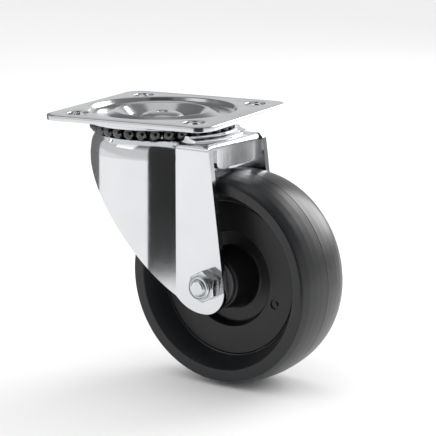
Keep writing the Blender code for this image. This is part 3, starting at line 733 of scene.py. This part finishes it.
def build_bolt():
    head_end = SEAT + HEAD_HEIGHT
    bolt = chamfered(hexagon_prism(SEAT, head_end), SEAT, head_end, False, True)
    thread_start = -SEAT + 2 * MM
    turns = int((thread_start - BOLT_END - 1.2 * MM) / PITCH)
    shank = [(0, BOLT_END), (BOLT_RADIUS - 1.0 * MM, BOLT_END),
             (BOLT_RADIUS - 0.5 * MM, BOLT_END + 0.35 * MM)]
    for index in range(turns):
        y = BOLT_END + 0.7 * MM + index * PITCH
        shank += [(BOLT_RADIUS - 0.55 * MM, y), (BOLT_RADIUS - 0.05 * MM, y + 0.5 * PITCH)]
    last = BOLT_END + 0.7 * MM + turns * PITCH
    shank += [(BOLT_RADIUS, last), (BOLT_RADIUS, SEAT + 1 * MM), (0, SEAT + 1 * MM)]
    return joined(bolt, turned(shank, 64, "Y"))


def build_nut():
    hex_end = -SEAT - NUT_HEX
    nut_end = hex_end - NUT_COLLAR
    nut = chamfered(hexagon_prism(hex_end, -SEAT), hex_end, -SEAT, True, True)
    root = -SEAT - 1 * MM
    collar = [(0, nut_end), (COLLAR_RADIUS, nut_end), (COLLAR_RADIUS, root), (0, root)]
    collar = softened(collar, [0, 0.8 * MM, 0, 0], 6, False)
    nut = joined(nut, turned(collar, 96, "Y"))
    bore = [(0, nut_end - 5 * MM), (5 * MM, nut_end - 5 * MM), (5 * MM, hex_end), (4.3 * MM, hex_end),
            (4.3 * MM, 0), (0, 0)]
    return joined(nut, turned(bore, 96, "Y"), "DIFFERENCE")


finished("hexagon_bolt", build_bolt(), axle_metal, "swivel_fork", "zinc_plated_fastener", "axle_bolt",
         place=axle_place, crease=28.0)
finished("lock_nut", build_nut(), axle_metal, "swivel_fork", "zinc_plated_fastener", "axle_nut",
         place=axle_place, crease=28.0)
for piece in (bpy.data.objects["hexagon_bolt"], bpy.data.objects["lock_nut"]):
    rounding = piece.modifiers.new("edges", "BEVEL")
    rounding.width = 0.15 * MM
    rounding.segments = 2
    rounding.limit_method = "ANGLE"
    rounding.angle_limit = radians(40)
NYLON, place, shader = start_material("white nylon", Subsurface_Weight=0.15)
feed(place, shader, noise(place, 900.0), 0.00002, 0.3, Roughness=0.42 + 0.1 * noise(place, 300.0),
     Base_Color=step(noise(place, 200.0), 0.3, 0.8).blend((0.78, 0.79, 0.78), (0.70, 0.71, 0.68)))
nut_end = -SEAT - NUT_HEX - NUT_COLLAR
ring_low = nut_end + GAP
ring_high = -SEAT - NUT_HEX - GAP
section = [(NYLON_BORE, ring_low), (NYLON_RADIUS, ring_low), (NYLON_RADIUS, ring_high),
           (NYLON_BORE, ring_high)]
finished("nylon_ring", turned(softened(section, [0.2 * MM] * 4, 3), 64, "Y"), NYLON, "swivel_fork", "nylon",
         "nut_insert", place=axle_place)


# ---------------------------------------------------------------------------------------------
# Studio: a pale floor under the wheel, a white surround that metal sees darker, three soft
# lamps, and dark cards round the castor that only reflections see, for the bands on bright metal.
# ---------------------------------------------------------------------------------------------
def flat_material(name, colour, roughness):
    material, place, shader = start_material(name, Roughness=roughness)
    feed(place, shader, Base_Color=noise(place, 3.0).blend(colour, tuple(0.98 * level for level in colour)))
    return material


AZIMUTH = radians(26.98)
ELEVATION = radians(12.19)
right = Vector((cos(AZIMUTH), sin(AZIMUTH), 0))
back = Vector((sin(AZIMUTH) * cos(ELEVATION), -cos(AZIMUTH) * cos(ELEVATION), sin(ELEVATION)))
up = back.cross(right)
camera_data = bpy.data.cameras.new("camera")
camera = bpy.data.objects.new("camera", camera_data)
bpy.context.scene.collection.objects.link(camera)
camera.location = spin_place - 9.02 * MM * right + 26.45 * MM * up + 0.9 * back
camera.rotation_euler = Matrix((right, up, back)).transposed().to_euler()
camera_data.lens = 159.0
camera_data.sensor_width = 36.0
camera_data.clip_start = 0.01
bpy.context.scene.camera = camera

floor_z = tyre_low.z - 0.0002
bm = bmesh.new()
bmesh.ops.create_circle(bm, cap_ends=True, radius=6.0, segments=96)
bmesh.ops.translate(bm, verts=bm.verts, vec=(0, 0, floor_z))
floor_mesh = bpy.data.meshes.new("floor")
bm.to_mesh(floor_mesh)
bm.free()
floor = bpy.data.objects.new("floor", floor_mesh)
bpy.context.scene.collection.objects.link(floor)
floor_mesh.materials.append(flat_material("pale floor", (0.93, 0.93, 0.93), 0.7))

CARD_DISTANCE = 0.24
CARD_HEIGHT = 0.5
view_angle = atan2(back.y, back.x)
black_card = flat_material("black card", (0.01, 0.01, 0.01), 0.9)
grey_card = flat_material("grey card", (0.14, 0.14, 0.14), 0.9)


def reflection_card(name, start, end, material):
    """A curved card round the swivel axis, between two angles from the camera's direction."""
    bm = bmesh.new()
    angles = [view_angle + radians(start + (end - start) * i / 24) for i in range(25)]
    bottom = [bm.verts.new((CARD_DISTANCE * cos(a), CARD_DISTANCE * sin(a), floor_z)) for a in angles]
    edges = [bm.edges.new(pair) for pair in zip(bottom, bottom[1:])]
    grown = bmesh.ops.extrude_edge_only(bm, edges=edges)
    verts = [v for v in grown["geom"] if isinstance(v, bmesh.types.BMVert)]
    bmesh.ops.translate(bm, verts=verts, vec=(0, 0, CARD_HEIGHT))
    mesh = bpy.data.meshes.new(name)
    bm.to_mesh(mesh)
    bm.free()
    card = bpy.data.objects.new(name, mesh)
    bpy.context.scene.collection.objects.link(card)
    mesh.materials.append(material)
    card.visible_camera = False
    card.visible_diffuse = False
    card.visible_shadow = False


reflection_card("card_front", -20, 31, black_card)
reflection_card("card_left", -160, -112, grey_card)
reflection_card("card_right", 100, 106, grey_card)

SURROUND_LOW = 0.68
SURROUND_HIGH = 0.20
world = bpy.data.worlds.new("studio")
bpy.context.scene.world = world
world.use_nodes = True
reflected = Link(world.node_tree).add("LightPath", {}, {}, 3)
toward = Link(world.node_tree).add("TexCoord", {}, {}, 0)
rise = toward.add("SeparateXYZ", {}, {"Vector": toward}, 2)
metal_sees = step(rise, 0.25, 0.60).blend((SURROUND_LOW,) * 3, (SURROUND_HIGH,) * 3)
surround = reflected.add("Mix", {"data_type": "RGBA"}, {0: reflected, 6: (1, 1, 1, 1), 7: metal_sees}, 2)
world.node_tree.links.new(surround.socket, world.node_tree.nodes["Background"].inputs["Color"])


def lamp(name, angle, height, distance, size, power):
    """A soft square lamp aimed at the castor, at an angle from the camera's direction."""
    light = bpy.data.lights.new(name, "AREA")
    light.shape = "SQUARE"
    light.size = size
    light.energy = power
    holder = bpy.data.objects.new(name, light)
    bpy.context.scene.collection.objects.link(holder)
    a = view_angle + radians(angle)
    aim = Vector((cos(a) * cos(radians(height)), sin(a) * cos(radians(height)), sin(radians(height))))
    target = Vector((0.02, 0, -0.06))
    holder.location = target + aim * distance
    holder.rotation_euler = aim.to_track_quat("Z", "Y").to_euler()


lamp("soft_left", -65, 35, 0.9, 0.5, 0.6)
lamp("soft_right", 128, 25, 1.0, 0.6, 6.0)
lamp("soft_top", 180, 75, 1.2, 0.8, 1.0)
bpy.context.scene.view_settings.view_transform = "Standard"
